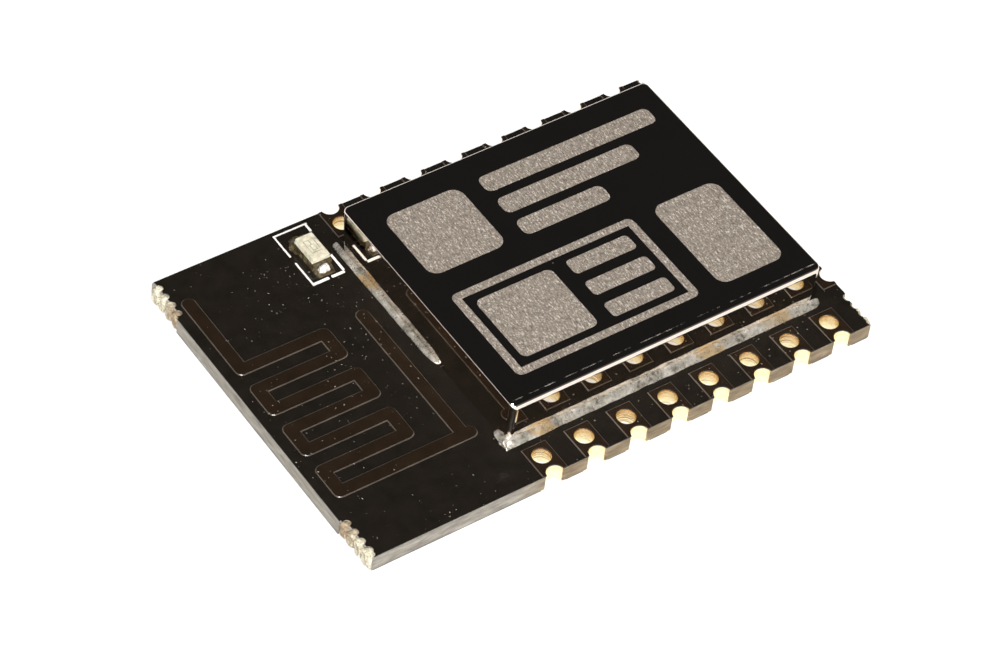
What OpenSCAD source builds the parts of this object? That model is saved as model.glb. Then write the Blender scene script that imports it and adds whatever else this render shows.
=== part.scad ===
// Castellated wireless module: board, printed antenna, plated edge pads, shield can and indicator LED.
// Lengths are in millimetres. Origin: middle of the underside. +X points to the pad end, +Z up.

/* [Board] */
// Length of the board, antenna end to pad end
board_l = 24; // [23:0.5:30]
// Width of the board
board_w = 16; // [15.6:0.2:20]
// Thickness of the finished board, outside of mask to outside of mask
board_t = 0.8; // [0.6:0.1:1.6]
// Thickness of each solder mask skin, measured on bare laminate
mask_t = 0.035; // [0.03:0.005:0.06]
// Thickness of the copper foil under the mask
copper_t = 0.02; // [0.015:0.005:0.025]
// Radius of the break-off drillings at the corners of the short edges
bite_r = 0.26; // [0.15:0.01:0.27]
// Spacing of the break-off drillings
bite_pitch = 0.56; // [0.56:0.01:0.7]
// Number of break-off drillings at each corner
bite_count = 4; // [0:1:5]

/* [Pads] */
// Spacing of the pads on all three edges
pad_pitch = 2; // [1.5:0.1:2.1]
// Number of pads on each long edge
row_count = 8; // [2:1:8]
// Number of pads on the pad end
end_count = 6; // [2:1:6]
// From the pad end of the board to the middle of the last long-edge pad
row_margin = 1.55; // [1.5:0.05:2]
// Finished radius of the plated holes and half-holes
hole_r = 0.4; // [0.25:0.01:0.5]
// From the long edge to the middle of the inboard hole
hole_inset = 0.93; // [0.9:0.01:1.1]
// How far outside the board edge a half-hole is centred
notch_out = 0.05; // [0:0.01:0.1]
// Thickness of the plating in the holes
plating_t = 0.035; // [0.02:0.005:0.05]
// Width of a pad's land along the edge
land_w = 1.16; // [1.1:0.02:1.3]
// Length of a long-edge land, inwards from the edge
row_land_l = 1.53; // [1.45:0.01:1.6]
// Length of an end land, inwards from the edge
end_land_l = 0.68; // [0.5:0.01:0.8]

/* [Shield can] */
// Length of the can
can_l = 15; // [13:0.1:15.4]
// Width of the can at its widest, under the lid
can_w = 12.16; // [11.4:0.02:12.5]
// Height of the can above the board
can_h = 2.2; // [1.8:0.05:3]
// Gap from the pad end of the board to the can
can_end_gap = 1.43; // [1.2:0.01:2]
// Thickness of the sheet
sheet_t = 0.15; // [0.1:0.01:0.2]
// Outer radius of the bend round the lid
bend_r = 0.3; // [0.22:0.01:0.5]
// Outer radius of the upright corners
corner_r = 0.4; // [0.3:0.01:0.8]
// Lean of the two long walls, tucked in towards the foot, in degrees
wall_lean = 5.5; // [0:0.5:7]
// Width of the solder seams on the long walls
seam_w = 0.29; // [0.15:0.01:0.32]
// Width of the solder seams on the short walls
side_seam_w = 0.2; // [0.1:0.01:0.25]
// Height that the solder climbs up the can
seam_h = 0.16; // [0.05:0.01:0.4]
// How far the ground strips reach in under the can
strip_tuck = 0.4; // [0.2:0.01:0.8]

/* [Antenna] */
// Width of the antenna trace
trace_w = 0.62; // [0.3:0.01:0.8]
// Spacing of the meander's runs
run_pitch = 1.177; // [1:0.001:1.3]
// From the antenna edge to the middle of the meander's outer turns
antenna_inset = 0.8; // [0.6:0.01:1.5]
// From the near long edge to the middle of the feed run
feed_inset = 3.3; // [2:0.05:4]
// Length of the open arm beyond the first run
open_arm_l = 3.94; // [1:0.01:4.5]
// Gap between the meander's inner turns and the grounded arm, middle to middle
arm_gap = 1.87; // [1:0.01:2.5]
// From the grounded arm's middle to the can
arm_to_can = 1.13; // [0.8:0.01:1.5]
// Length of the grounded arm
arm_l = 7.12; // [3:0.01:8]

/* [LED] */
// Length of the LED over its terminals
led_l = 1.6; // [1.2:0.1:2]
// Width of the LED
led_w = 0.86; // [0.6:0.02:1]
// Height of the LED
led_h = 0.6; // [0.4:0.05:0.8]
// From the far long edge to the middle of the LED
led_inset = 1.87; // [1.8:0.01:4]
// From the middle of the LED to the can
led_to_can = 1.18; // [1.1:0.01:1.6]
// Length of the clear body between the terminals
lens_l = 1.36; // [0.8:0.01:1.4]
// Size of the printed box round the LED, across the board's length
box_w = 1.6; // [1.3:0.05:2]
// Size of the printed box round the LED, across the board's width
box_l = 3.08; // [2.5:0.02:3.4]
// Width of the printed line
ink_w = 0.14; // [0.1:0.01:0.2]
// Length of the gap in each long side of the printed box
ink_gap = 0.36; // [0.1:0.01:1]

/* [Chips under the can] */
// Side of the radio processor
chip_s = 5; // [4:0.1:5.2]
// Height of the radio processor
chip_h = 0.85; // [0.6:0.05:1]
// Body side of the memory chip
memory_s = 5.2; // [3.9:0.1:5.2]
// Clear height between the memory chip and the lid
lid_gap = 0.35; // [0.2:0.05:0.6]
// Length of the crystal
crystal_l = 3.2; // [2:0.1:3.4]
// Width of the crystal
crystal_w = 2.5; // [1.6:0.1:2.6]

/* [Hidden] */
$fn = 48;
eps = 0.01;
x_end = board_l / 2;
y_edge = board_w / 2;
foil_z = board_t - mask_t;
plate_top = foil_z + copper_t;

// shield can places
can_right = x_end - can_end_gap;
can_left = can_right - can_l;
can_mid = (can_left + can_right) / 2;
can_top = board_t + can_h;
bend_drop = bend_r * (1 + sin(wall_lean));
wall_foot_y = can_w / 2 - bend_r * (1 - cos(wall_lean)) - (can_h - bend_drop) * tan(wall_lean);
inner_half_w = wall_foot_y - sheet_t;
BEND_STEPS = 8;

// seams and strips: the side seam runs past the far wall, the long ones wrap the near corner
seam_over = 0.26;
side_seam_y = [-1.2, wall_foot_y + 0.45];
corner_seam_l = 0.7;
end_seam_l = 6;

// antenna places
run_y = [for (i = [0:6]) -y_edge + feed_inset + (6 - i) * run_pitch];
turn_x = -x_end + antenna_inset;
arm_x = can_left - arm_to_can;
back_x = arm_x - arm_gap;
feed_x = can_left - 0.85;

// LED places
led_at = [can_left - led_to_can, y_edge - led_inset];
box_at = [led_at[0] - 0.01, led_at[1] + 0.13];
ink_t = 0.015;
led_base_h = 0.2;
terminal_l = 0.26;
land_reach = 0.38;
land_under = 0.22;
clear = 0.02;

// chip places, from the can's middle and its inner walls
crystal_at = [can_mid - 3.2, -inner_half_w + 0.55 + crystal_w / 2];
chip_at = [can_mid - 3.1, crystal_at[1] + crystal_w / 2 + 0.75 + chip_s / 2];
memory_at = [can_mid + 3.9, 0.4];
terminal_t = 0.02;
lead_pitch = 1.27;
lead_w = 0.42;
lead_span = 1.3;
lead_t = 0.2;
memory_top = can_top - sheet_t - lid_gap;
back_row_y = inner_half_w - 0.8;
between_x = (chip_at[0] + chip_s / 2 + memory_at[0] - memory_s / 2) / 2;
capacitor_at = [
    [chip_at[0] - 2.1, back_row_y, 0],
    [chip_at[0] - 0.7, back_row_y, 0],
    [chip_at[0] + 0.7, back_row_y, 0],
    [chip_at[0] + 2.1, back_row_y, 0],
    [chip_at[0] - chip_s / 2 - 0.7, chip_at[1] + 1.6, 90],
    [chip_at[0] - chip_s / 2 - 0.7, chip_at[1] + 0.1, 90],
    [crystal_at[0] - crystal_l / 2 - 0.6, crystal_at[1], 90],
    [crystal_at[0] + crystal_l / 2 + 0.6, crystal_at[1], 90]];
resistor_at = [
    [between_x, chip_at[1] + 1.8, 90],
    [between_x, chip_at[1] + 0.3, 90],
    [between_x, chip_at[1] - 1.2, 90]];
inductor_at = [chip_at[0] - chip_s / 2 - 0.8, chip_at[1] - 1.7, 90];
chip_part = [1, 0.5, 0.5];
flat_part = [1, 0.5, 0.34];
coil_part = [1.6, 0.8, 0.8];

// colours
LAMINATE = [0.66, 0.6, 0.48];
MASK = [0.06, 0.055, 0.05];
COPPER = [0.5, 0.36, 0.24];
GOLD = [0.86, 0.7, 0.42];
INK = [0.95, 0.94, 0.92];
SHEET = [0.78, 0.77, 0.76];
SOLDER = [0.7, 0.7, 0.68];
BLACK = [0.1, 0.1, 0.1];
CERAMIC = [0.62, 0.5, 0.38];

function arc(cx, cy, r, from, to) =
    [for (i = [0:BEND_STEPS]) let (a = from + (to - from) * i / BEND_STEPS) [cx + r * cos(a), cy + r * sin(a)]];

function row_x(i) = x_end - row_margin - (row_count - i) * pad_pitch;

function end_y(i) = (i - (end_count + 1) / 2) * pad_pitch;

// a rectangle with true round corners, from its lowest corner
module round_rect(at, size, r) {
    translate(at + [r, 0]) square([size[0] - 2 * r, size[1]]);
    translate(at + [0, r]) square([size[0], size[1] - 2 * r]);
    for (x = [r, size[0] - r], y = [r, size[1] - r]) translate(at + [x, y]) circle(r);
}

// ---- board and its two skins ----

// runs its children once at each pad's edge point, turned so that +Y points inwards
module at_pads() {
    for (i = [1:row_count]) {
        translate([row_x(i), -y_edge]) children(0);
        translate([row_x(i), y_edge]) rotate(180) children(0);
    }
    for (i = [1:end_count]) translate([x_end, end_y(i)]) rotate(90) children(1);
}

module pad_cut(r, inboard) {
    translate([0, -notch_out]) circle(r);
    if (inboard) translate([0, hole_inset]) circle(r);
}

// the board's plan with holes and half-holes of one radius
module plan(r) {
    difference() {
        square([board_l, board_w], center = true);
        at_pads() {
            pad_cut(r, true);
            pad_cut(r, false);
        }
        if (bite_count > 0)
            for (sx = [-1, 1], sy = [-1, 1], i = [0:bite_count - 1])
                translate([sx * (x_end + bite_r / 4), sy * (y_edge - bite_pitch * (i + 0.45))]) circle(bite_r);
    }
}

module lands_plan(grow = 0) {
    at_pads() {
        translate([-land_w / 2, -grow]) square([land_w, row_land_l + grow]);
        translate([-land_w / 2, -grow]) square([land_w, end_land_l + grow]);
    }
}

module pcb() {
    color(LAMINATE) translate([0, 0, mask_t]) linear_extrude(board_t - 2 * mask_t) plan(hole_r + plating_t);
}

module mask_top() {
    color(MASK) difference() {
        translate([0, 0, foil_z]) linear_extrude(mask_t) plan(hole_r);
        translate([0, 0, foil_z]) linear_extrude(copper_t) lands_plan(1);
        translate([0, 0, foil_z]) linear_extrude(copper_t) antenna_plan();
        translate([0, 0, foil_z - eps]) linear_extrude(mask_t + 2 * eps) strips_plan();
        translate([0, 0, foil_z - eps]) linear_extrude(mask_t + 2 * eps) led_lands_plan();
    }
}

module mask_bottom() {
    color(MASK) linear_extrude(mask_t) difference() {
        plan(hole_r);
        lands_plan(1);
    }
}

// ---- plated pads ----

// one pad: top land, bottom land and the barrels that join them; the edge lies on y = 0
module plated_pad(length, inboard) {
    color(GOLD) difference() {
        union() {
            translate([-land_w / 2, 0, 0]) cube([land_w, length, mask_t]);
            translate([-land_w / 2, 0, foil_z]) cube([land_w, length, copper_t]);
            intersection() {
                translate([0, -notch_out, 0]) cylinder(r = hole_r + plating_t, h = plate_top);
                translate([-land_w / 2, 0, 0]) cube([land_w, length, plate_top]);
            }
            if (inboard) translate([0, hole_inset, 0]) cylinder(r = hole_r + plating_t, h = plate_top);
        }
        translate([0, -notch_out, -1]) cylinder(r = hole_r, h = board_t + 2);
        if (inboard) translate([0, hole_inset, -1]) cylinder(r = hole_r, h = board_t + 2);
    }
}

module pad_front(i) {
    translate([row_x(i), -y_edge, 0]) plated_pad(row_land_l, true);
}

module pad_rear(i) {
    translate([row_x(i), y_edge, 0]) rotate(180) plated_pad(row_land_l, true);
}

module pad_end(i) {
    translate([x_end, end_y(i), 0]) rotate(90) plated_pad(end_land_l, false);
}

// ---- antenna ----

// a straight stretch of trace along X or Y, with round ends
module stretch(from, to) {
    low = [min(from[0], to[0]), min(from[1], to[1])] - [trace_w, trace_w] / 2;
    high = [max(from[0], to[0]), max(from[1], to[1])] + [trace_w, trace_w] / 2;
    round_rect(low, high - low, trace_w / 2 - 0.001);
}

module antenna_plan() {
    stretch([turn_x, run_y[0]], [turn_x, run_y[0] + open_arm_l]);
    for (i = [0:5]) {
        stretch([turn_x, run_y[i]], [back_x, run_y[i]]);
        side_x = i % 2 == 0 ? back_x : turn_x;
        stretch([side_x, run_y[i + 1]], [side_x, run_y[i]]);
    }
    stretch([turn_x, run_y[6]], [feed_x, run_y[6]]);
    stretch([arm_x, run_y[6]], [arm_x, run_y[6] + arm_l]);
}

module antenna_trace() {
    color(COPPER) translate([0, 0, foil_z]) linear_extrude(copper_t) antenna_plan();
}

// ---- ground strips, shield can and solder seams ----

module strips_plan() {
    x0 = can_left - side_seam_w;
    for (s = [-1, 1])
        translate([0, s * (wall_foot_y + (seam_w - strip_tuck) / 2)])
            translate([s < 0 ? x0 : can_left + 0.2, -(seam_w + strip_tuck) / 2])
                square([can_right + seam_over - (s < 0 ? x0 : can_left + 0.2), seam_w + strip_tuck]);
    translate([x0, -wall_foot_y - seam_w]) square([side_seam_w + 0.2, seam_w + corner_seam_l]);
    translate([x0, side_seam_y[0]]) square([side_seam_w + 0.15, side_seam_y[1] - side_seam_y[0]]);
    translate([can_right - 0.2, -end_seam_l / 2]) square([side_seam_w + 0.2, end_seam_l]);
}

module ground_strips() {
    color(COPPER) translate([0, 0, foil_z]) linear_extrude(mask_t) strips_plan();
}

// upright section of the can: half width, top, bend radius, lean of the walls, foot level
function section(half, top, r, lean, foot) =
    let (drop = top - r * (1 + sin(lean)) - foot,
         out = half - r * (1 - cos(lean)),
         right = arc(half - r, top - r, r, -lean, 90),
         left = arc(r - half, top - r, r, 90, 180 + lean))
    concat([[out - drop * tan(lean), foot]], right, left, [[drop * tan(lean) - out, foot]]);

// the can as a solid block, shrunk by inset on every side but the open one
module can_block(inset, foot) {
    r = bend_r - inset;
    top = can_top - inset;
    length = can_l - 2 * inset;
    intersection() {
        translate([can_mid - can_l, 0, 0]) rotate([90, 0, 90])
            linear_extrude(2 * can_l) polygon(section(can_w / 2 - inset, top, r, wall_lean, foot));
        translate([can_mid, can_w, 0]) rotate([90, 0, 0])
            linear_extrude(2 * can_w) polygon(section(length / 2, top, r, 0, foot));
        translate([0, 0, foot]) linear_extrude(top + 1)
            round_rect([can_mid - length / 2, inset - can_w / 2], [length, can_w - 2 * inset], corner_r - inset);
    }
}

module shield_can() {
    color(SHEET) difference() {
        can_block(0, board_t);
        can_block(sheet_t, board_t - 0.5);
    }
}

// section of a seam: it runs out along the board to w and climbs to seam_h, against a wall with this lean
function seam_section(w, lean) =
    let (back = seam_h * tan(lean))
    [[0, 0], [w, 0], [0.55 * w, 0.22 * seam_h], [0.25 * w + back / 2, 0.52 * seam_h], [back, seam_h]];

// a seam of this length along +X, standing out towards -Y from a wall on y = 0
module seam(length, w, lean) {
    translate([length, 0, board_t]) rotate([90, 0, -90]) linear_extrude(length) polygon(seam_section(w, lean));
}

// solder filling the space round a rounded corner of the can
module corner_fill(x, y, dx, dy) {
    difference() {
        translate([x - dx, y - dy, board_t]) cube([2 * dx, 2 * dy, seam_h * 0.6]);
        can_block(0, board_t - 0.5);
    }
}

module solder_front() {
    color(SOLDER) {
        x0 = can_left + corner_r;
        translate([x0, -wall_foot_y, 0]) seam(can_right + seam_over - x0, seam_w, wall_lean);
        corner_fill(can_left + (corner_r - side_seam_w) / 2, -wall_foot_y + (corner_r - seam_w) / 2,
            (corner_r + side_seam_w) / 2, (corner_r + seam_w) / 2);
        translate([can_left, -wall_foot_y + corner_seam_l, 0]) rotate(-90)
            seam(corner_seam_l - corner_r, side_seam_w, 0);
    }
}

module solder_rear() {
    x0 = can_left + corner_r;
    color(SOLDER) translate([can_right + seam_over, wall_foot_y, 0]) rotate(180)
        seam(can_right + seam_over - x0, seam_w, wall_lean);
}

module solder_side() {
    color(SOLDER) translate([can_left, side_seam_y[1], 0]) rotate(-90)
        seam(side_seam_y[1] - side_seam_y[0], side_seam_w, 0);
}

module solder_end() {
    color(SOLDER) translate([can_right, -end_seam_l / 2, 0]) rotate(90) seam(end_seam_l, side_seam_w, 0);
}

// ---- LED in its printed box ----

module led_lands_plan() {
    for (s = [-1, 1])
        translate([led_at[0] - led_w / 2, led_at[1] + s * (led_l / 2 + (land_reach - land_under) / 2)])
            translate([0, -(land_reach + land_under) / 2]) square([led_w, land_reach + land_under]);
}

module led_lands() {
    color(COPPER) translate([0, 0, foil_z]) linear_extrude(mask_t) led_lands_plan();
}

module ink_box() {
    color(INK) translate([box_at[0], box_at[1], board_t]) linear_extrude(ink_t) difference() {
        square([box_w, box_l], center = true);
        square([box_w - 2 * ink_w, box_l - 2 * ink_w], center = true);
        square([box_w + 1, ink_gap], center = true);
    }
}

module led_base() {
    color(INK) translate([led_at[0] - led_w / 2, led_at[1] - led_l / 2 + clear, board_t])
        cube([led_w, led_l - 2 * clear, led_base_h]);
}

// the clear body, moulded round the die
module led_body() {
    color([0.97, 0.95, 0.82]) translate([led_at[0], led_at[1], board_t + led_base_h]) difference() {
        rotate([90, 0, 0]) translate([0, 0, -lens_l / 2])
            linear_extrude(lens_l) polygon([
                [-led_w / 2, 0],
                [led_w / 2, 0],
                [led_w / 2 - 0.05, led_h - led_base_h],
                [0.05 - led_w / 2, led_h - led_base_h]]);
        led_die_block();
    }
}

module led_die_block() {
    translate([-0.13, -0.13, 0]) cube([0.26, 0.26, 0.14]);
}

module led_die() {
    color([0.85, 0.8, 0.4]) translate([led_at[0], led_at[1], board_t + led_base_h]) led_die_block();
}

// a metal cap folded round one end of the base
module led_terminal(s) {
    color(SOLDER) translate([led_at[0], led_at[1] + s * led_l / 2, board_t]) rotate(s > 0 ? 0 : 180)
        translate([-led_w / 2, -clear, 0]) cube([led_w, clear, led_base_h + 0.05]);
}

module led_terminal_lower() {
    led_terminal(-1);
}

module led_terminal_upper() {
    led_terminal(1);
}

// a fillet from the terminal down to the end of its land
module led_solder(s) {
    translate([led_at[0], led_at[1] + s * led_l / 2, board_t]) rotate(s > 0 ? 0 : 180)
        color(SOLDER) translate([-led_w / 2, 0, 0]) rotate([90, 0, 90]) linear_extrude(led_w)
            polygon([[0, 0], [land_reach, 0], [0.6 * land_reach, 0.05], [0.2 * land_reach, 0.14], [0, 0.25]]);
}

module led_solder_lower() {
    led_solder(-1);
}

module led_solder_upper() {
    led_solder(1);
}

// ---- chips under the can ----

module processor() {
    color(BLACK) translate([chip_at[0] - chip_s / 2, chip_at[1] - chip_s / 2, board_t + terminal_t])
        cube([chip_s, chip_s, chip_h - terminal_t]);
}

module processor_terminals() {
    color(SOLDER) translate([chip_at[0], chip_at[1], board_t]) {
        translate([-0.35 * chip_s, -0.35 * chip_s, 0]) cube([0.7 * chip_s, 0.7 * chip_s, terminal_t]);
        for (turn = [0:90:270], i = [-3.5:3.5]) rotate(turn)
            translate([i * 0.5 - 0.11, chip_s / 2 - 0.4, 0]) cube([0.22, 0.4, terminal_t]);
    }
}

module memory_chip() {
    stand = 0.12;
    color(BLACK) translate([memory_at[0] - memory_s / 2, memory_at[1] - memory_s / 2, board_t + stand])
        cube([memory_s, memory_s, memory_top - board_t - stand]);
}

// eight bent leads, each from the body's side down to the board
module memory_leads() {
    shoulder = 0.55;
    color(SOLDER) translate([memory_at[0], memory_at[1], board_t])
        for (s = [0, 180], i = [-1.5:1.5]) rotate(s)
            translate([i * lead_pitch - lead_w / 2, memory_s / 2, 0]) rotate([90, 0, 90])
                linear_extrude(lead_w) polygon([
                    [0, shoulder],
                    [0.5, shoulder],
                    [0.55, lead_t],
                    [0.55, 0],
                    [lead_span, 0],
                    [lead_span, lead_t],
                    [0.75, lead_t],
                    [0.7, shoulder + lead_t],
                    [0, shoulder + lead_t]]);
}

module crystal_base() {
    color(CERAMIC) translate([crystal_at[0] - crystal_l / 2, crystal_at[1] - crystal_w / 2, board_t])
        cube([crystal_l, crystal_w, 0.45]);
}

module crystal_lid() {
    color(SHEET) translate([0, 0, board_t + 0.45]) linear_extrude(0.25)
        round_rect([crystal_at[0] - crystal_l / 2 + 0.15, crystal_at[1] - crystal_w / 2 + 0.15],
            [crystal_l - 0.3, crystal_w - 0.3], 0.25);
}

// a two-ended chip part: the body stands a little in from its metal ends
module chip_piece(place, size, tint) {
    step = 0.02;
    cap = size[0] / 5;
    translate([place[0], place[1], board_t]) rotate(place[2]) color(tint) union() {
        translate([-size[0] / 2 + cap / 2, step - size[1] / 2, 0])
            cube([size[0] - cap, size[1] - 2 * step, size[2] - step]);
        for (s = [-1, 1]) translate([s * (size[0] - cap) / 2 - cap / 2, -size[1] / 2, 0])
            cube([cap, size[1], size[2]]);
    }
}

module capacitor(i) {
    chip_piece(capacitor_at[i - 1], chip_part, CERAMIC);
}

module resistor(i) {
    chip_piece(resistor_at[i - 1], flat_part, BLACK);
}

module inductor() {
    chip_piece(inductor_at, coil_part, SHEET);
}

pcb();
mask_top();
mask_bottom();
antenna_trace();
ground_strips();
led_lands();
ink_box();
shield_can();
solder_front();
solder_rear();
solder_side();
solder_end();
led_base();
led_body();
led_die();
led_terminal_lower();
led_terminal_upper();
led_solder_lower();
led_solder_upper();
processor();
processor_terminals();
memory_chip();
memory_leads();
crystal_base();
crystal_lid();
inductor();
for (i = [1:row_count]) pad_front(i);
for (i = [1:row_count]) pad_rear(i);
for (i = [1:end_count]) pad_end(i);
for (i = [1:len(capacitor_at)]) capacitor(i);
for (i = [1:len(resistor_at)]) resistor(i);
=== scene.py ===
from math import copysign, cos, pi, radians, sin

import bmesh
import bpy
from mathutils import Matrix, Vector, noise


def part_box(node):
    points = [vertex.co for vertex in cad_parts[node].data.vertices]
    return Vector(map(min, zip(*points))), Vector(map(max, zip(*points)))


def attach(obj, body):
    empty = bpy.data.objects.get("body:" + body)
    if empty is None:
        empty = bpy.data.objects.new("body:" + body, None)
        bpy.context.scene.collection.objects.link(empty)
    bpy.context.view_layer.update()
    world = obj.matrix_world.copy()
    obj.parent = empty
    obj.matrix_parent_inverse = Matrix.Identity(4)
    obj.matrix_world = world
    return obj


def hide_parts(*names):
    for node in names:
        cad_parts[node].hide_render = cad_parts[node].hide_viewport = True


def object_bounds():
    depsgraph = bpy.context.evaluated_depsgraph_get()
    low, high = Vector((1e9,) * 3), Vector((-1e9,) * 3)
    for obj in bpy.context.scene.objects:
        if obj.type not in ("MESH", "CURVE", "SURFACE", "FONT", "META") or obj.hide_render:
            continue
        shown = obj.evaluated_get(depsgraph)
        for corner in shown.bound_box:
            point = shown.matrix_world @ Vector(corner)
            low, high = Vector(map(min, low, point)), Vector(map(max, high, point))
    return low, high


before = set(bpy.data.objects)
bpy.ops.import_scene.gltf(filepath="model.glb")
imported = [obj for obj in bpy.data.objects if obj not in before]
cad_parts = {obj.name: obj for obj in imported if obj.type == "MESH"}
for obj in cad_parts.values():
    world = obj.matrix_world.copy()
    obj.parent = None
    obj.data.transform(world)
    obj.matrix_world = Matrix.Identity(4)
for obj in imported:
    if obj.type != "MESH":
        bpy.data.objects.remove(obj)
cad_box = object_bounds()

MM = 0.001
bpy.context.scene.view_settings.view_transform = "Standard"

# The camera: a long lens, looking down on the module from over its antenna
# corner. The numbers are its place and the turn of its frame, in the row frame.
eye = Vector((-65.469, -77.729, 109.659)) * MM
azimuth, elevation, roll = radians(-39.888), radians(47.447), radians(7.609)
back = Vector((sin(azimuth) * cos(elevation), -cos(azimuth) * cos(elevation), sin(elevation)))
level = Vector((cos(azimuth), sin(azimuth), 0))
upright = back.cross(level)
right = cos(roll) * level + sin(roll) * upright
up = cos(roll) * upright - sin(roll) * level
lens = bpy.data.cameras.new("camera")
lens.sensor_width = 36
lens.lens = 135.2
lens.clip_start = 0.005
lens.clip_end = 20
camera = bpy.data.objects.new("camera", lens)
bpy.context.scene.collection.objects.link(camera)
camera.matrix_world = Matrix.Translation(eye) @ Matrix((right, up, back)).transposed().to_4x4()
bpy.context.scene.camera = camera


# Printed circuit board: a core of woven glass and epoxy, sawn out of its panel
# and drilled for the plated holes. Its cut sides show the layers of glass cloth,
# grey where a cutter ran and browner where the drills passed.
CORE_LOW, CORE_HIGH = 0.035, 0.765
HOLE_R = 0.4
PLATING = 0.035
HOLE_INSET = 0.93
NOTCH_OUT = 0.05
BITE_R = 0.22
BITE_PITCH = 0.50
BITES = 4
BITE_START = 0.26
ROUND = 64
MASK_TOP = 0.8


def box_mm(name):
    """A CAD node's lowest and highest corners. Every shape here is made in millimetres."""
    low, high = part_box(name)
    return low / MM, high / MM


def centre(name):
    low, high = box_mm(name)
    return (low + high) / 2


END_X, EDGE_Y = cad_box[1][0] / MM, cad_box[1][1] / MM


def placed_pad(x, y, turn):
    """Brings a pad from lying along +Y off the origin to its place on an edge."""
    return Matrix.Translation((x, y, 0)) @ Matrix.Rotation(turn, 4, "Z")


pads = {}
for i in range(1, 9):
    pads[f"pad_front_{i}"] = placed_pad(centre(f"pad_front_{i}").x, -EDGE_Y, 0)
    pads[f"pad_rear_{i}"] = placed_pad(centre(f"pad_rear_{i}").x, EDGE_Y, pi)
for i in range(1, 7):
    pads[f"pad_end_{i}"] = placed_pad(END_X, centre(f"pad_end_{i}").y, pi / 2)


def as_object(bm, name, materials=(), smooth=False, scale=MM):
    """bm, which is in millimetres, as a new object called name. bm is used up."""
    bmesh.ops.scale(bm, vec=(scale, scale, scale), verts=bm.verts)
    for face in bm.faces:
        face.smooth = smooth
    mesh = bpy.data.meshes.new(name)
    bm.to_mesh(mesh)
    bm.free()
    for material in materials:
        mesh.materials.append(material)
    obj = bpy.data.objects.new(name, mesh)
    bpy.context.scene.collection.objects.link(obj)
    return obj


def carved(body, tool, operation="DIFFERENCE"):
    """body with tool cut out of it, both bmeshes, which are used up."""
    body, tool = as_object(body, "carved", scale=1), as_object(tool, "tool", scale=1)
    cut = body.modifiers.new("cut", "BOOLEAN")
    cut.operation = operation
    cut.solver = "EXACT"
    cut.object = tool
    bpy.context.view_layer.update()
    result = bmesh.new()
    result.from_object(body, bpy.context.evaluated_depsgraph_get())
    for obj in (body, tool):
        mesh = obj.data
        bpy.data.objects.remove(obj)
        bpy.data.meshes.remove(mesh)
    return result


def bar(bm, low, high):
    """Adds a box from corner to corner, and returns its vertices."""
    low, high = Vector(low), Vector(high)
    place = Matrix.Translation((low + high) / 2) @ Matrix.Diagonal((*(high - low), 1))
    return bmesh.ops.create_cube(bm, size=1, matrix=place)["verts"]


def drill(bm, at, radius, low=-1, high=2):
    """Adds an upright round bar, to cut a hole with."""
    bmesh.ops.create_cone(
        bm,
        cap_ends=True,
        segments=ROUND,
        radius1=radius,
        radius2=radius,
        depth=high - low,
        matrix=Matrix.Translation((at[0], at[1], (low + high) / 2)),
    )


def bite_places(deeper):
    """The break-off drillings' axes: a row from each corner, just outside the board's end."""
    for sx in (-1, 1):
        for sy in (-1, 1):
            for i in range(BITES):
                y = EDGE_Y - BITE_PITCH * (i + BITE_START)
                yield sx * (END_X + BITE_R / 4 - deeper), sy * y


def drills(hole_r, deeper=0):
    """Every drilling in the board, as one cutting tool. The break-off ones may reach deeper in."""
    tool = bmesh.new()
    for name, place in pads.items():
        drill(tool, place @ Vector((0, -NOTCH_OUT, 0)), hole_r)
        if "end" not in name:
            drill(tool, place @ Vector((0, HOLE_INSET, 0)), hole_r)
    for at in bite_places(deeper):
        drill(tool, at, BITE_R)
    return tool


def new_material(name, **sockets):
    """A material with sockets set on its shader. Returns it, its nodes and its shader."""
    material = bpy.data.materials.new(name)
    material.use_nodes = True
    nodes = material.node_tree.nodes
    shader = nodes["Principled BSDF"]
    for key, value in sockets.items():
        shader.inputs[key.replace("_", " ")].default_value = value
    return material, nodes, shader


def wire(*rows):
    """Links nodes. Each row is a node, its output, the node that it feeds and that node's input."""
    for source, output, target, socket in rows:
        source.id_data.links.new(source.outputs[output], target.inputs[socket])


def node(tree_nodes, kind, **settings):
    """A new shader node. A setting that begins with in_ is an input socket's value."""
    made = tree_nodes.new(f"ShaderNode{kind}")
    for key, value in settings.items():
        if key.startswith("in_"):
            made.inputs[key[3:].replace("_", " ")].default_value = value
        else:
            setattr(made, key, value)
    return made


def new_group(name, inputs, outputs):
    """An empty node group. Returns it, its nodes, its input node and its output node."""
    group = bpy.data.node_groups.new(name, "ShaderNodeTree")
    for way, sockets in (("INPUT", inputs), ("OUTPUT", outputs)):
        for socket, kind in sockets.items():
            group.interface.new_socket(socket, in_out=way, socket_type=f"NodeSocket{kind}")
    nodes = group.nodes
    return group, nodes, nodes.new("NodeGroupInput"), nodes.new("NodeGroupOutput")


def spread_over(tree_nodes, low, high, to_low=0.0, to_high=1.0, **settings):
    """A node that maps low..high to to_low..to_high, and holds beyond them."""
    made = node(tree_nodes, "MapRange", **settings)
    ends = {"From Min": low, "From Max": high, "To Min": to_low, "To Max": to_high}
    for socket, value in ends.items():
        made.inputs[socket].default_value = value
    return made


def ramp(tree_nodes, stops):
    """A colour ramp with these (place, colour) stops."""
    made = tree_nodes.new("ShaderNodeValToRGB")
    elements = made.color_ramp.elements
    for place, _ in stops[2:]:
        elements.new(place)
    for element, (place, colour) in zip(elements, stops):
        element.position = place
        element.color = (*colour, 1)
    return made


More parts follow.
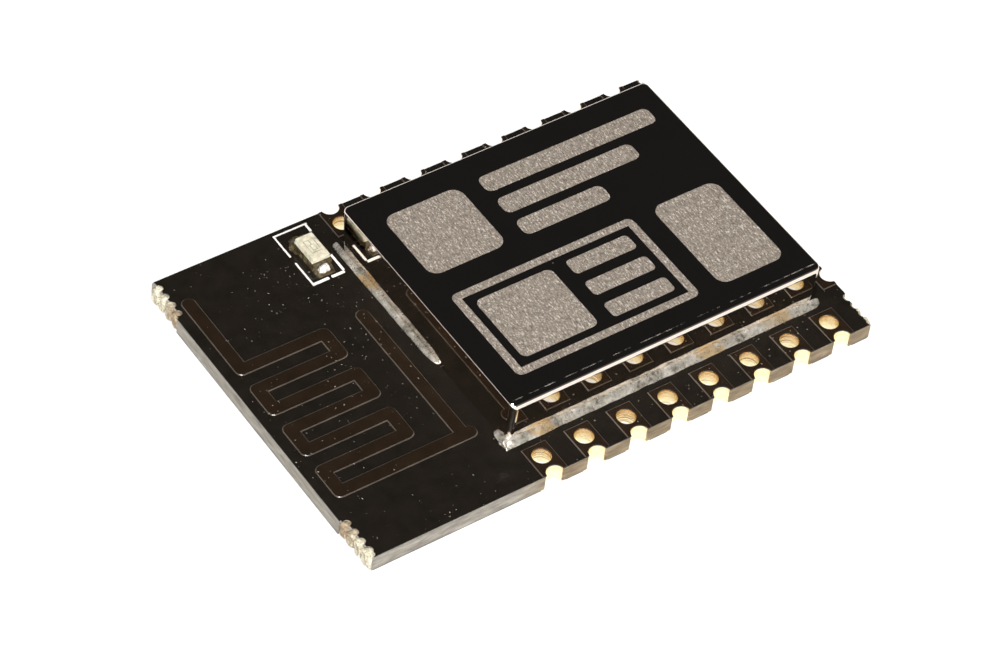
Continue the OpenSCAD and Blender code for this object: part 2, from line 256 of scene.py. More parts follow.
# mottle: cloudy patches, used for colour and sheen on most finishes here
mottle, n, given, out = new_group(
    "mottle",
    {"Vector": "Vector", "Scale": "Float", "Low": "Float", "High": "Float"},
    {"Value": "Float"},
)
broad = node(n, "TexNoise", in_Detail=4.0, in_Roughness=0.6)
spread = spread_over(n, 0.3, 0.7)
wire(
    (given, "Vector", broad, "Vector"),
    (given, "Scale", broad, "Scale"),
    (broad, "Fac", spread, "Value"),
    (given, "Low", spread, "To Min"),
    (given, "High", spread, "To Max"),
    (spread, "Result", out, "Value"),
)


def place_group(tree_nodes, group, **values):
    """A node that uses group, with its sockets' values."""
    made = tree_nodes.new("ShaderNodeGroup")
    made.node_tree = group
    for key, value in values.items():
        made.inputs[key.replace("_", " ")].default_value = value
    return made


def clouds(tree_nodes, scale, low=0.0, high=1.0):
    """mottle, between low and high."""
    return place_group(tree_nodes, mottle, Scale=scale, Low=low, High=high)


def in_place(tree_nodes, *users):
    """Gives these nodes the piece's own coordinates, in metres."""
    where = node(tree_nodes, "TexCoord")
    for user in users:
        wire((where, "Object", user, "Vector"))


# sawn glass laminate: flat layers of cloth with pale fibre ends, smeared grey at the
# antenna end and tan where the saw ran between the plated half-holes
laminate_sawn, n, shader = new_material("laminate_sawn", Roughness=0.7, Specular_IOR_Level=0.35)
flatten = node(n, "Mapping")
flatten.inputs["Scale"].default_value = (1300, 1300, 5200)
fibres = node(n, "TexNoise", in_Scale=1.0, in_Detail=5.0, in_Roughness=0.6)
grey_side = ramp(
    n, [(0.28, (0.20, 0.185, 0.165)), (0.5, (0.34, 0.32, 0.285)), (0.75, (0.52, 0.50, 0.45))]
)
tan_side = ramp(
    n, [(0.28, (0.15, 0.113, 0.072)), (0.5, (0.27, 0.213, 0.138)), (0.75, (0.44, 0.37, 0.265))]
)
apart = node(n, "SeparateXYZ")
along = spread_over(n, -0.0055, -0.0035)
tone = node(n, "Mix", data_type="RGBA")
bump = node(n, "Bump", in_Strength=0.4, in_Distance=0.00003)
in_place(n, flatten, apart)
wire(
    (flatten, "Vector", fibres, "Vector"),
    (fibres, "Fac", grey_side, "Fac"),
    (fibres, "Fac", tan_side, "Fac"),
    (apart, "X", along, "Value"),
    (along, "Result", tone, "Factor"),
    (grey_side, "Color", tone, "A"),
    (tan_side, "Color", tone, "B"),
    (tone, "Result", shader, "Base Color"),
    (fibres, "Fac", bump, "Height"),
    (bump, "Normal", shader, "Normal"),
)

STUB_R = 0.22
TORN_BACK = 0.09
# how much of each torn column is left, from the corner inward, by the corner's signs
COLUMNS = {
    (-1, -1): (0.75, 1.1, 1.0, 1.05, 0.95),
    (-1, 1): (0.0, 1.1, 1.0, 1.05, 0.95),
    (1, -1): (0.0, 0.9, 0.75, 0.4, 0.0),
    (1, 1): (0.0, 0.9, 0.75, 0.4, 0.0),
}
COLUMN_IN = {-1: 0.19, 1: 0.08}
CORNER_COLUMN_IN = 0.16
CHIP_SHIFT, CHIP_SHARE = {-1: 0.01, 1: 0.03}, {-1: 0.8, 1: 0.7}
CHIP_FLOOR = 0.4


def cusps():
    """Where a column was left between two drillings and tore: (x, y, how much of it is left)."""
    for (sx, sy), remains in COLUMNS.items():
        for i, left in enumerate(remains):
            if left:
                along = BITE_PITCH * (i + BITE_START - 0.5) if i else CORNER_COLUMN_IN
                yield sx * (END_X - COLUMN_IN[sx]), sy * (EDGE_Y - along), left


def torn_back(body):
    """Takes body's edge back where the antenna end was broken off, between the drillings."""
    tool = bmesh.new()
    for sy in (-1, 1):
        near, far = sorted((sy * (EDGE_Y - 2.12), sy * (EDGE_Y - TORN_BACK)))
        bar(tool, (-END_X - 0.1, near, -1), (-END_X + TORN_BACK, far, 2))
    return carved(body, tool)


def chipped(body, low):
    """Takes body away above low, where the torn columns took a chip of the top with them."""
    for x, y, left in cusps():
        end = -1 if x < 0 else 1
        chip = bmesh.new()
        drill(chip, (x + CHIP_SHIFT[end], y), STUB_R * CHIP_SHARE[end] * left, low)
        body = carved(body, chip)
    return body


core = bmesh.new()
bar(core, (-END_X, -EDGE_Y, CORE_LOW), (END_X, EDGE_Y, CORE_HIGH))
core = chipped(torn_back(carved(core, drills(HOLE_R + PLATING))), CHIP_FLOOR)
core = as_object(core, "board_core", [laminate_sawn])
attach(core, "root")
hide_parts("pcb")


# Break-off stubs: where the module was snapped out of its panel, torn columns of
# glass and resin stand between the small drillings at the corners. They are bare,
# whitened by the break, and ragged.
torn_glass, n, shader = new_material("torn_glass", Roughness=0.8, Specular_IOR_Level=0.3)
patches = clouds(n, 6000.0)
scorched = ramp(
    n, [(0.0, (0.25, 0.18, 0.115)), (0.5, (0.40, 0.31, 0.21)), (1.0, (0.60, 0.52, 0.39))]
)
whitened = ramp(
    n, [(0.0, (0.42, 0.37, 0.26)), (0.4, (0.64, 0.60, 0.47)), (1.0, (0.88, 0.85, 0.73))]
)
apart = node(n, "SeparateXYZ")
off_middle = node(n, "Math", operation="ABSOLUTE")
outward = spread_over(n, 0.00635, 0.00705)
tone = node(n, "Mix", data_type="RGBA")
bump = node(n, "Bump", in_Strength=0.6, in_Distance=0.00004)
in_place(n, patches, apart)
wire(
    (apart, "Y", off_middle, 0),
    (off_middle, "Value", outward, "Value"),
    (patches, "Value", scorched, "Fac"),
    (patches, "Value", whitened, "Fac"),
    (outward, "Result", tone, "Factor"),
    (scorched, "Color", tone, "A"),
    (whitened, "Color", tone, "B"),
    (tone, "Result", shader, "Base Color"),
    (patches, "Value", bump, "Height"),
    (bump, "Normal", shader, "Normal"),
)

STUB_LOW, STUB_HIGH = 0.015, 0.775
STUB_CLEAR = 0.005
STUB_WIDE_X, STUB_WIDE_Y = 1.1, 1.06


def merge(into, other):
    """Adds other to into, both bmeshes. other is used up."""
    mesh = bpy.data.meshes.new("merged")
    other.to_mesh(mesh)
    other.free()
    into.from_mesh(mesh)
    bpy.data.meshes.remove(mesh)


stubs = bmesh.new()
for x, y, left in cusps():
    lump = bmesh.new()
    bmesh.ops.create_icosphere(lump, subdivisions=5, radius=1)
    for vert in lump.verts:
        way = vert.co.copy()
        spot = Vector((x + way.x * 0.5, y + way.y * 0.5, way.z))
        rough = noise.fractal(spot * 2.2, 1.0, 2.1, 4)
        fine = noise.fractal(spot * 8.0, 0.8, 2.1, 4)
        tall = (1 if way.z > 0 else -1) * abs(way.z) ** 0.55
        reach = STUB_R * left * (1 + 0.36 * rough + 0.12 * fine)
        round_off = max(0.0, 1 - abs(tall) ** 4) ** 0.5 if abs(way.z) > 0.2 else 1.0
        flat = Vector((way.x * STUB_WIDE_X, way.y * STUB_WIDE_Y, 0))
        flat = flat / Vector((way.x, way.y)).length if flat.length > 1e-6 else flat
        vert.co = Vector((x, y, 0)) + flat * reach * round_off
        high = STUB_HIGH - 0.10 * (1.05 - left) + 0.06 * rough
        vert.co.z = (STUB_LOW + high) / 2 + tall * (high - STUB_LOW) / 2 + 0.012 * fine
        for side, limit in ((0, END_X - STUB_CLEAR), (1, EDGE_Y - STUB_CLEAR)):
            over = abs(vert.co[side]) - limit
            if over > 0:
                vert.co[side] = copysign(limit - min(0.05, 0.4 * over), vert.co[side])
        vert.co.z = min(max(vert.co.z, 0.004), MASK_TOP)
    merge(stubs, lump)
bmesh.ops.recalc_face_normals(stubs, faces=stubs.faces)
stubs = as_object(stubs, "break_off_stubs", [torn_glass], smooth=True)
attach(stubs, "root")


# Solder mask: a thin black lacquer, screened over both faces. It is glossy, with a
# faint ripple, and it steps up over the copper, paler where it thins at the step.
STEP_W, STEP_H = 0.042, 0.028
MASK_BACK = 0.07
LAND_HALF = 0.58
LAND_PAST = 0.1
LAND_L = {"front": 1.53, "rear": 1.53, "end": 0.68}

# dust: sparse pale specks, bent out of round, that gather in drifts
dust, n, given, out = new_group(
    "dust",
    {"Vector": "Vector", "Scale": "Float", "Amount": "Float", "Size": "Float"},
    {"Mask": "Float"},
)
bend = node(n, "TexNoise", in_Scale=9000.0, in_Detail=2.0)
less = node(n, "VectorMath", operation="SCALE")
less.inputs["Scale"].default_value = 0.00016
bent = node(n, "VectorMath", operation="ADD")
cells = node(n, "TexVoronoi", feature="F1")
pick = node(n, "SeparateColor")
drift = node(n, "TexNoise", in_Scale=330.0, in_Detail=3.0, in_Roughness=0.6)
gather = spread_over(n, 0.44, 0.66, 0.12, 2.2)
local = node(n, "Math", operation="MULTIPLY")
chosen = node(n, "Math", operation="LESS_THAN")
grow = node(n, "Math", operation="MULTIPLY")
near = node(n, "Math", operation="LESS_THAN")
both = node(n, "Math", operation="MULTIPLY")
shade = node(n, "Math", operation="MULTIPLY")
wire(
    (given, "Vector", bend, "Vector"),
    (bend, "Color", less, 0),
    (given, "Vector", bent, 0),
    (less, "Vector", bent, 1),
    (bent, "Vector", cells, "Vector"),
    (given, "Scale", cells, "Scale"),
    (cells, "Color", pick, "Color"),
    (given, "Vector", drift, "Vector"),
    (drift, "Fac", gather, "Value"),
    (gather, "Result", local, 0),
    (given, "Amount", local, 1),
    (pick, "Red", chosen, 0),
    (local, "Value", chosen, 1),
    (pick, "Green", grow, 0),
    (given, "Size", grow, 1),
    (cells, "Distance", near, 0),
    (grow, "Value", near, 1),
    (chosen, "Value", both, 0),
    (near, "Value", both, 1),
    (both, "Value", shade, 0),
    (pick, "Blue", shade, 1),
    (shade, "Value", out, "Mask"),
)


def lacquer(name, colour, patch_colour, rough):
    """Black mask lacquer over one kind of ground, with its ripple and dust."""
    made, n, shader = new_material(name, Roughness=rough, Specular_IOR_Level=0.5)
    patches = clouds(n, 1400.0)
    specks = place_group(n, dust, Scale=10500.0, Amount=0.085, Size=0.36)
    tone = node(n, "Mix", data_type="RGBA")
    dusty = node(n, "Mix", data_type="RGBA")
    tone.inputs["A"].default_value = (*colour, 1)
    tone.inputs["B"].default_value = (*patch_colour, 1)
    dusty.inputs["B"].default_value = (0.46, 0.42, 0.36, 1)
    sheen = spread_over(n, 0.0, 1.0, rough, 0.8)
    ripple = clouds(n, 2600.0)
    bump = node(n, "Bump", in_Strength=0.08, in_Distance=0.00002)
    in_place(n, patches, specks, ripple)
    wire(
        (patches, "Value", tone, "Factor"),
        (tone, "Result", dusty, "A"),
        (specks, "Mask", dusty, "Factor"),
        (dusty, "Result", shader, "Base Color"),
        (specks, "Mask", sheen, "Value"),
        (sheen, "Result", shader, "Roughness"),
        (ripple, "Value", bump, "Height"),
        (bump, "Normal", shader, "Normal"),
    )
    return made


mask_black = lacquer("mask_black", (0.0105, 0.0088, 0.0070), (0.016, 0.0130, 0.010), 0.16)
mask_brown = lacquer("mask_over_copper", (0.0160, 0.0105, 0.0066), (0.024, 0.0150, 0.009), 0.16)
mask_thin = lacquer("mask_at_step", (0.060, 0.051, 0.043), (0.105, 0.090, 0.076), 0.24)


def stepped_up(bm, faces):
    """Makes flat faces low plateaus: the ring that slopes up has the paler second material."""
    ring = bmesh.ops.inset_region(
        bm, faces=faces, thickness=STEP_W, depth=STEP_H, use_even_offset=True
    )
    for face in ring["faces"]:
        face.material_index = 1


def thickened(bm, depth):
    """Gives the flat faces in bm a body below them, and returns the top faces."""
    grown = bmesh.ops.extrude_face_region(bm, geom=bm.faces[:], use_keep_orig=True)["geom"]
    below = [g for g in grown if isinstance(g, bmesh.types.BMVert)]
    bmesh.ops.translate(bm, vec=(0, 0, -depth), verts=below)
    bmesh.ops.recalc_face_normals(bm, faces=bm.faces)
    return [f for f in bm.faces if f.normal.z > 0.9]


skin = bmesh.new()
bar(skin, (-END_X, -EDGE_Y, CORE_HIGH), (END_X, EDGE_Y, MASK_TOP))
skin = carved(skin, drills(HOLE_R, MASK_BACK))
skin = torn_back(chipped(skin, -1))
lands = bmesh.new()
for name, place in pads.items():
    length = LAND_L[name.split("_")[1]]
    shape = bmesh.ops.create_grid(lands, x_segments=1, y_segments=1, size=0.5)["verts"]
    bmesh.ops.scale(lands, vec=(2 * LAND_HALF, length + 2 * LAND_PAST, 1), verts=shape)
    bmesh.ops.translate(lands, vec=(0, length / 2 - LAND_PAST, MASK_TOP), verts=shape)
    bmesh.ops.transform(lands, matrix=place, verts=shape)
tops = thickened(lands, 0.01)
for face in tops:
    face.material_index = 2
stepped_up(lands, tops)
lands = carved(lands, drills(HOLE_R))
trim = bmesh.new()
bar(trim, (-END_X, -EDGE_Y, 0), (END_X, EDGE_Y, 2))
lands = carved(lands, trim, "INTERSECT")
merge(skin, lands)
skin = as_object(skin, "mask_top_skin", [mask_black, mask_thin, mask_brown])
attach(skin, "root")
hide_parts("mask_top")

# underside lacquer: the same black mask, open over the solder lands
under = bmesh.new()
bar(under, (-END_X, -EDGE_Y, 0), (END_X, EDGE_Y, CORE_LOW))
windows = bmesh.new()
for name, place in pads.items():
    length = LAND_L[name.split("_")[1]]
    shape = bar(windows, (-LAND_HALF, -0.2, -1), (LAND_HALF, length, 1))
    bmesh.ops.transform(windows, matrix=place, verts=shape)
under = carved(under, windows)
under = torn_back(carved(under, drills(HOLE_R, MASK_BACK)))
under = as_object(under, "mask_bottom_skin", [mask_black])
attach(under, "root")
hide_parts("mask_bottom")


# Printed antenna: one piece of copper foil, etched to a meander with a grounded arm
# beside it. The mask runs over it, so it shows as a brownish raised track.
TRACK = 0.62
TRACK_R = 0.309
foil_low, foil_high = box_mm("antenna_trace")
RUN_PITCH = 1.177
FEED_Y = foil_low.y + TRACK / 2
TURN_X = foil_low.x + TRACK / 2
FEED_X = foil_high.x - TRACK / 2
BACK_X = TURN_X + 3.77
ARM_X = TURN_X + 5.64
ARM_TOP = FEED_Y + 7.12
OPEN_TOP = foil_high.y - TRACK / 2


def rounded(bm, geom, radius, steps, affect="EDGES"):
    bmesh.ops.bevel(
        bm, geom=geom, offset=radius, segments=steps, profile=0.5, affect=affect, material=-1
    )


def etched(rects, z, radius, steps=8):
    """A flat sheet cut to the (x0, y0, x1, y1) rectangles in rects, its outward corners rounded."""
    xs = sorted({v for r in rects for v in (r[0], r[2])})
    ys = sorted({v for r in rects for v in (r[1], r[3])})
    bm = bmesh.new()
    bmesh.ops.create_grid(bm, x_segments=1, y_segments=1, size=0.5)
    bmesh.ops.scale(bm, vec=(xs[-1] - xs[0], ys[-1] - ys[0], 1), verts=bm.verts)
    middle = (xs[0] + xs[-1]) / 2, (ys[0] + ys[-1]) / 2, z
    bmesh.ops.translate(bm, vec=middle, verts=bm.verts)
    cuts = [((x, 0, z), (1, 0, 0)) for x in xs[1:-1]]
    cuts += [((0, y, z), (0, 1, 0)) for y in ys[1:-1]]
    for at, across in cuts:
        whole = bm.verts[:] + bm.edges[:] + bm.faces[:]
        bmesh.ops.bisect_plane(bm, geom=whole, dist=1e-5, plane_co=at, plane_no=across)

    def waste(face):
        c = face.calc_center_median()
        return not any(r[0] < c.x < r[2] and r[1] < c.y < r[3] for r in rects)

    bmesh.ops.delete(bm, geom=[f for f in bm.faces if waste(f)], context="FACES")
    outward = [v for v in bm.verts if len(v.link_faces) == 1]
    straight = [v for v in bm.verts if len(v.link_faces) == 2]
    within = [e for e in bm.edges if len(e.link_faces) == 2]
    bmesh.ops.delete(bm, geom=bm.faces[:], context="FACES_ONLY")
    bmesh.ops.delete(bm, geom=within, context="EDGES")
    bmesh.ops.dissolve_verts(bm, verts=straight)
    rounded(bm, outward, radius, steps, "VERTICES")
    bmesh.ops.remove_doubles(bm, verts=bm.verts, dist=0.004)
    bmesh.ops.triangle_fill(bm, edges=bm.edges[:], use_beauty=True, use_dissolve=False)
    bmesh.ops.reverse_faces(bm, faces=[f for f in bm.faces if f.normal.z < 0])
    return bm


def track(x0, y0, x1, y1):
    """The rectangle of a track whose middle line runs from corner to corner."""
    half = TRACK / 2
    return min(x0, x1) - half, min(y0, y1) - half, max(x0, x1) + half, max(y0, y1) + half


run_y = [FEED_Y + RUN_PITCH * (6 - i) for i in range(7)]
course = [
    track(TURN_X, run_y[0], TURN_X, OPEN_TOP),
    track(TURN_X, FEED_Y, FEED_X, FEED_Y),
    track(ARM_X, FEED_Y, ARM_X, ARM_TOP),
]
for i in range(6):
    side = BACK_X if i % 2 == 0 else TURN_X
    course.append(track(TURN_X, run_y[i], BACK_X, run_y[i]))
    course.append(track(side, run_y[i + 1], side, run_y[i]))
antenna = etched(course, MASK_TOP, TRACK_R)
stepped_up(antenna, thickened(antenna, 0.01))
antenna = as_object(antenna, "antenna_track", [mask_brown, mask_thin])
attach(antenna, "root")
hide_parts("antenna_trace")


# Plated pads: each is a bare land on the underside, joined through the board by a
# plated hole and, at the edge, by a plated half-hole that was cut through with it.
# The drill leaves fine rings in the hole, and the plating follows them.
gold, n, shader = new_material("gold_plate", Metallic=1.0)
patches = clouds(n, 3500.0)
tone = ramp(n, [(0.0, (0.98, 0.82, 0.51)), (0.5, (1.0, 0.89, 0.60)), (1.0, (1.0, 0.93, 0.68))])
turns = node(n, "Mapping")
turns.inputs["Rotation"].default_value = (0.16, 0.1, 0)
turns.inputs["Scale"].default_value = (420, 420, 12500)
scored = node(n, "TexNoise", in_Scale=1.0, in_Detail=1.0, in_Roughness=0.5)
groove = spread_over(n, 0.57, 0.66, 0.0, 0.7)
worn = node(n, "Mix", data_type="RGBA")
worn.inputs["B"].default_value = (0.42, 0.25, 0.11, 1)
apart = node(n, "SeparateXYZ")
off_middle = node(n, "Math", operation="ABSOLUTE")
# full weight for the holes inside the board, a fifth for the half-holes at its edge
inboard_weight = spread_over(n, 0.0075, 0.0076, 1.0, 0.2)
held = node(n, "Math", operation="MULTIPLY")
# painted shade: the walls of the inner holes turn orange toward the top, where gold deep in a hole
# mirrors itself
toward_hole_top = spread_over(n, 0.00035, 0.00085, 0.0, 0.75)
painted_hole_shade = node(n, "Math", operation="MULTIPLY")
painted_warm_shade = node(n, "Mix", data_type="RGBA")
painted_warm_shade.inputs["B"].default_value = (0.80, 0.47, 0.21, 1)
sheen = clouds(n, 9000.0, 0.14, 0.30)
bump = node(n, "Bump", in_Strength=0.25, in_Distance=0.00002)
in_place(n, patches, sheen, turns, apart)
wire(
    (patches, "Value", tone, "Fac"),
    (apart, "Y", off_middle, 0),
    (off_middle, "Value", inboard_weight, "Value"),
    (groove, "Result", held, 0),
    (inboard_weight, "Result", held, 1),
    (turns, "Vector", scored, "Vector"),
    (scored, "Fac", groove, "Value"),
    (held, "Value", worn, "Factor"),
    (apart, "Z", toward_hole_top, "Value"),
    (toward_hole_top, "Result", painted_hole_shade, 0),
    (inboard_weight, "Result", painted_hole_shade, 1),
    (painted_hole_shade, "Value", painted_warm_shade, "Factor"),
    (tone, "Color", painted_warm_shade, "A"),
    (painted_warm_shade, "Result", worn, "A"),
    (worn, "Result", shader, "Base Color"),
    (sheen, "Value", shader, "Roughness"),
    (patches, "Value", bump, "Height"),
    (bump, "Normal", shader, "Normal"),
)

RIM = MASK_TOP + 0.004
RINGS = 9
RING_DEPTH = 0.010
WORN_RING = 0.3
ROLL = (3.6, 3, 2, 1)


def barrel(bm, at, angle, start):
    """A plated wall round the axis through at: its section is spun through angle, from start."""
    full = angle > 6.2
    steps = 56 if full else 30
    ring = RING_DEPTH if full else WORN_RING * RING_DEPTH
    turned = Matrix.Translation(at) @ Matrix.Rotation(start, 4, "Z")
    section = [(HOLE_R + PLATING, 0), (HOLE_R + PLATING, RIM - 0.006)]
    for t in ROLL:  # the plating rolls over the rim
        drop = PLATING * (1 - sin(t * pi / 8)) * 1.3
        section.append((HOLE_R + PLATING * cos(t * pi / 8) / 1.4, RIM - drop))
    for i in range(2 * RINGS, -1, -1):
        raised = ring if i % 2 else 0
        section.append((HOLE_R - raised + 0.004, 0.94 * RIM * (i + 0.3) / (2 * RINGS + 1)))
    section.append((HOLE_R, 0))
    verts = [bm.verts.new(turned @ Vector((r, 0, z))) for r, z in section]
    edges = [bm.edges.new(pair) for pair in zip(verts, verts[1:] + verts[:1])]
    made = bmesh.ops.spin(
        bm, geom=verts + edges, cent=at, axis=(0, 0, 1), angle=angle, steps=steps, use_merge=full
    )["geom_last"]
    if not full:
        bmesh.ops.contextual_create(bm, geom=edges)
        bmesh.ops.contextual_create(bm, geom=[g for g in made if isinstance(g, bmesh.types.BMEdge)])


def land(low, high, length, inboard):
    """A pad's flat foil between two heights, with its holes."""
    made = bmesh.new()
    bar(made, (-LAND_HALF, 0, low), (LAND_HALF, length, high))
    tool = bmesh.new()
    drill(tool, (0, -NOTCH_OUT), HOLE_R + PLATING * 0.9)
    if inboard:
        drill(tool, (0, HOLE_INSET), HOLE_R + PLATING * 0.9)
    return carved(made, tool)


NOTCH_TURN = 0.055 / (HOLE_R + PLATING) * 1.9
for name, place in pads.items():
    inboard = "end" not in name
    length = LAND_L[name.split("_")[1]]
    pad = land(0, CORE_LOW, length, inboard)
    merge(pad, land(CORE_HIGH, CORE_HIGH + 0.02, length, inboard))
    barrel(pad, (0, -NOTCH_OUT, 0), pi - 2 * NOTCH_TURN, NOTCH_TURN)
    if inboard:
        barrel(pad, (0, HOLE_INSET, 0), 2 * pi, 0)
    bmesh.ops.recalc_face_normals(pad, faces=pad.faces)
    bmesh.ops.transform(pad, matrix=place, verts=pad.verts)
    pad = as_object(pad, f"plated_{name}", [gold])
    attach(pad, "root")
    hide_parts(name)


# Shield can: one blank of bright tinned steel, drawn to a five-sided box with a
# small radius round its lid. Its long walls lean in a little at the foot. It is
# soldered down to a ground strip, and polished enough to mirror the board.
can_low, can_high = box_mm("shield_can")
LID_Z = can_high.z - 0.002
BEND_R, FRONT_BEND, CORNER_R, SHEET = 0.12, 0.27, 0.28, 0.15
FOOT_TUCK = 0.185
LEFT_X, RIGHT_X, FRONT_Y = can_low.x + 0.06, can_high.x - 0.04, can_low.y + 0.085

tinned, n, shader = new_material("bright_tin", Metallic=1.0)
patches = clouds(n, 500.0)
tone = ramp(n, [(0.0, (0.84, 0.76, 0.69)), (1.0, (0.90, 0.83, 0.76))])
hair = node(n, "Mapping")
hair.inputs["Scale"].default_value = (18000, 900, 900)
scratch = node(n, "TexNoise", in_Scale=1.0, in_Detail=2.0)
sheen = spread_over(n, 0.55, 0.8, 0.035, 0.12)
specks = place_group(n, dust, Scale=3000.0, Amount=0.02, Size=0.16)
dusty = node(n, "Mix", data_type="RGBA")
dusty.inputs["B"].default_value = (0.5, 0.47, 0.42, 1)
matte = node(n, "Math", operation="MULTIPLY_ADD")
matte.inputs[1].default_value = 0.5
clean = node(n, "Math", operation="SUBTRACT")
clean.inputs[0].default_value = 1.0
apart = node(n, "SeparateXYZ")  # a broken pale matte line lies on the lid where the front bend begins
at_bend_start = node(n, "Math", operation="COMPARE")
at_bend_start.inputs[1].default_value = (FRONT_Y + FRONT_BEND + 0.02) * MM
at_bend_start.inputs[2].default_value = 0.000022
on_lid = node(n, "Math", operation="GREATER_THAN")
on_lid.inputs[1].default_value = (LID_Z - 0.01) * MM
broken = clouds(n, 2600.0, -0.35, 0.45)
pale_line = node(n, "Math", operation="MULTIPLY")
pale_line_on_lid = node(n, "Math", operation="MULTIPLY", use_clamp=True)
dust_and_pale_line = node(n, "Math", operation="MAXIMUM")
in_place(n, patches, hair, specks, apart, broken)
wire(
    (apart, "Y", at_bend_start, 0),
    (apart, "Z", on_lid, 0),
    (at_bend_start, "Value", pale_line, 0),
    (broken, "Value", pale_line, 1),
    (pale_line, "Value", pale_line_on_lid, 0),
    (on_lid, "Value", pale_line_on_lid, 1),
    (specks, "Mask", dust_and_pale_line, 0),
    (pale_line_on_lid, "Value", dust_and_pale_line, 1),
    (patches, "Value", tone, "Fac"),
    (hair, "Vector", scratch, "Vector"),
    (scratch, "Fac", sheen, "Value"),
    (tone, "Color", dusty, "A"),
    (dust_and_pale_line, "Value", dusty, "Factor"),
    (dusty, "Result", shader, "Base Color"),
    (dust_and_pale_line, "Value", matte, 0),
    (sheen, "Result", matte, 2),
    (matte, "Value", shader, "Roughness"),
    (dust_and_pale_line, "Value", clean, 1),
    (clean, "Value", shader, "Metallic"),
)

can = bmesh.new()
bar(can, (LEFT_X, FRONT_Y, can_low.z), (RIGHT_X, can_high.y, LID_Z))
posts = [e for e in can.edges if abs(e.verts[0].co.z - e.verts[1].co.z) > 1]
rounded(can, posts, CORNER_R, 10)
lid = [f for f in can.faces if f.normal.z > 0.9]
rounded(can, lid[0].edges[:], BEND_R, 10)
# the bend opens out toward the front, where the lid was pressed over a rounder edge
for vert in can.verts:
    core_x = min(max(vert.co.x, LEFT_X + CORNER_R), RIGHT_X - CORNER_R)
    outward = Vector((vert.co.x - core_x, vert.co.y - FRONT_Y - CORNER_R, 0))
    if vert.co.z > LID_Z - BEND_R - 0.001 and outward.y < 0.05:
        inset = CORNER_R - outward.length
        facing = max(0.0, -outward.normalized().y)
        vert.co.y += inset * (FRONT_BEND / BEND_R - 1)
        vert.co.z -= (LID_Z - vert.co.z) * (FRONT_BEND / BEND_R - 1) * facing**2
floor_faces = [f for f in can.faces if f.normal.z < -0.9]
bmesh.ops.delete(can, geom=floor_faces, context="FACES_ONLY")
WALL_TOP = LID_Z - FRONT_BEND - 0.05
for height in (WALL_TOP, can_low.z + 0.3):  # keeps the walls' shading apart from the bends'
    whole = can.verts[:] + can.edges[:] + can.faces[:]
    bmesh.ops.bisect_plane(can, geom=whole, dist=1e-5, plane_co=(0, 0, height), plane_no=(0, 0, 1))
for vert in can.verts:
    sunk = max(0.0, (WALL_TOP - vert.co.z) / (WALL_TOP - can_low.z))
    tuck = FOOT_TUCK if vert.co.y > 0 else can_low.y + FOOT_TUCK - FRONT_Y
    vert.co.y -= tuck * sunk * (1 if vert.co.y > 0 else -1) * min(1, abs(vert.co.y) / 5.5)
bmesh.ops.recalc_face_normals(can, faces=can.faces)
bmesh.ops.solidify(can, geom=can.faces[:], thickness=SHEET)
bmesh.ops.recalc_face_normals(can, faces=can.faces)
can = as_object(can, "shield_can_shell", [tinned], smooth=True)
flatten_faces = can.modifiers.new("true_flats", "WEIGHTED_NORMAL")
flatten_faces.weight = 100
flatten_faces.keep_sharp = False
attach(can, "root")
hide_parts("shield_can")


# Etched marks: plain areas on the lid that a laser has frosted, in a generic layout.
# The beam ran to and fro across the module, and each pass left a line; the palest specks on them
# are painted glints.
frosted, n, shader = new_material("frosted_tin", Metallic=0.5, Specular_IOR_Level=0.4)
passes = node(n, "Mapping")
passes.inputs["Scale"].default_value = (15000, 3200, 3000)
streak = node(n, "TexNoise", in_Scale=1.0, in_Detail=3.0, in_Roughness=0.7)
pits = node(n, "Mapping")
pits.inputs["Scale"].default_value = (27000, 17000, 17000)
grit = node(n, "TexVoronoi", feature="F1", in_Scale=1.0)
pick = node(n, "SeparateColor")
pits_and_painted_glints = spread_over(n, 0.0, 1.0, -0.16, 0.16)
mixed = node(n, "Math", operation="ADD")
# the top stop is a painted glint: near-white colour where the frost would sparkle, over its real
# grey and dark pits
tone = ramp(
    n,
    [
        (0.28, (0.22, 0.18, 0.15)),
        (0.42, (0.40, 0.345, 0.295)),
        (0.60, (0.50, 0.44, 0.38)),
        (0.70, (0.98, 0.92, 0.85)),
    ],
)
sheen = spread_over(n, 0.0, 1.0, 0.7, 0.4)
bump = node(n, "Bump", in_Strength=0.5, in_Distance=0.00001)
in_place(n, passes, pits)
wire(
    (passes, "Vector", streak, "Vector"),
    (pits, "Vector", grit, "Vector"),
    (grit, "Color", pick, "Color"),
    (pick, "Red", pits_and_painted_glints, "Value"),
    (streak, "Fac", mixed, 0),
    (pits_and_painted_glints, "Result", mixed, 1),
    (mixed, "Value", tone, "Fac"),
    (tone, "Color", shader, "Base Color"),
    (mixed, "Value", sheen, "Value"),
    (sheen, "Result", shader, "Roughness"),
    (mixed, "Value", bump, "Height"),
    (bump, "Normal", shader, "Normal"),
)


def frame_rects(x0, y0, x1, y1, w):
    """The four rectangles of a frame w wide."""
    level_sides = [(x0, y0, x1, y0 + w), (x0, y1 - w, x1, y1)]
    return level_sides + [(x0, y0, x0 + w, y1), (x1 - w, y0, x1, y1)]


